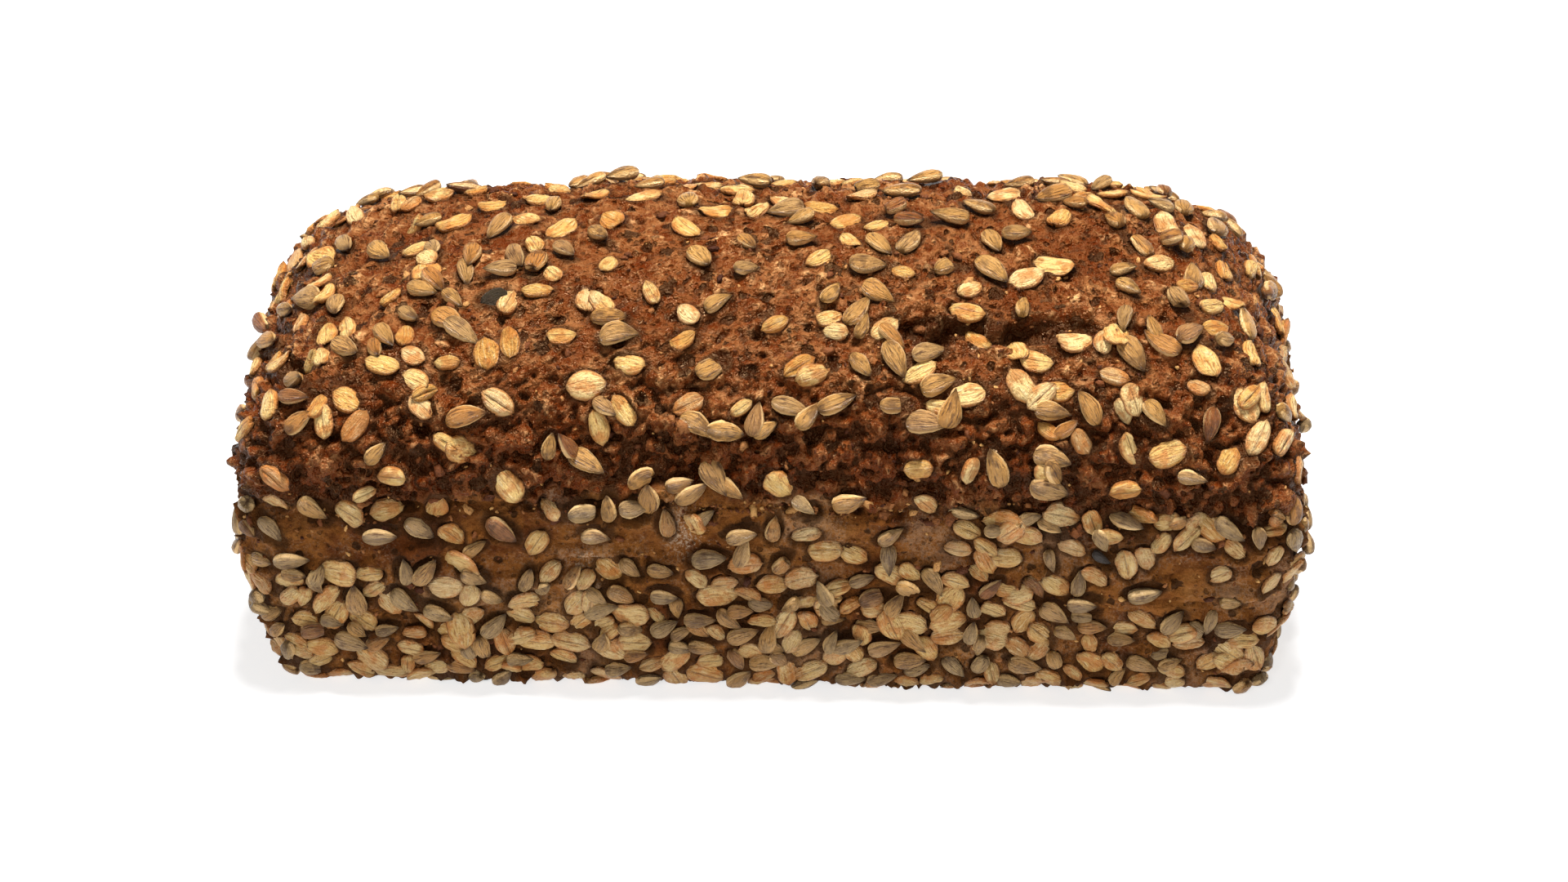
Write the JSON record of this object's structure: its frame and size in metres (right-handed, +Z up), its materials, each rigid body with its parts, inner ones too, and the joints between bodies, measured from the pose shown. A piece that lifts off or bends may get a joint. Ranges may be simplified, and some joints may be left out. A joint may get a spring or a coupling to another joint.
{
  "type": "whole grain bread loaf",
  "caption": "Whole grain tin loaf with a domed dark crust, covered in cereal flakes and sunflower kernels, standing on its flat base.",
  "frame": {"origin": "under the middle of the loaf, on the flat base that it rests on", "axes": "+Z up, +X along the loaf's length to its right end, -Y towards the front side"},
  "size_m": [0.2515, 0.1141, 0.0997],
  "materials": {
    "crust": "dark red-brown baked crust, matte on the tin-pressed sides and slightly glossy on the top",
    "flakes": "toasted cereal flakes, dry and matte",
    "kernels": "roasted sunflower kernels, satin"
  },
  "bodies": {
    "root": {"loaf": "crust"}
  },
  "joints": []
}
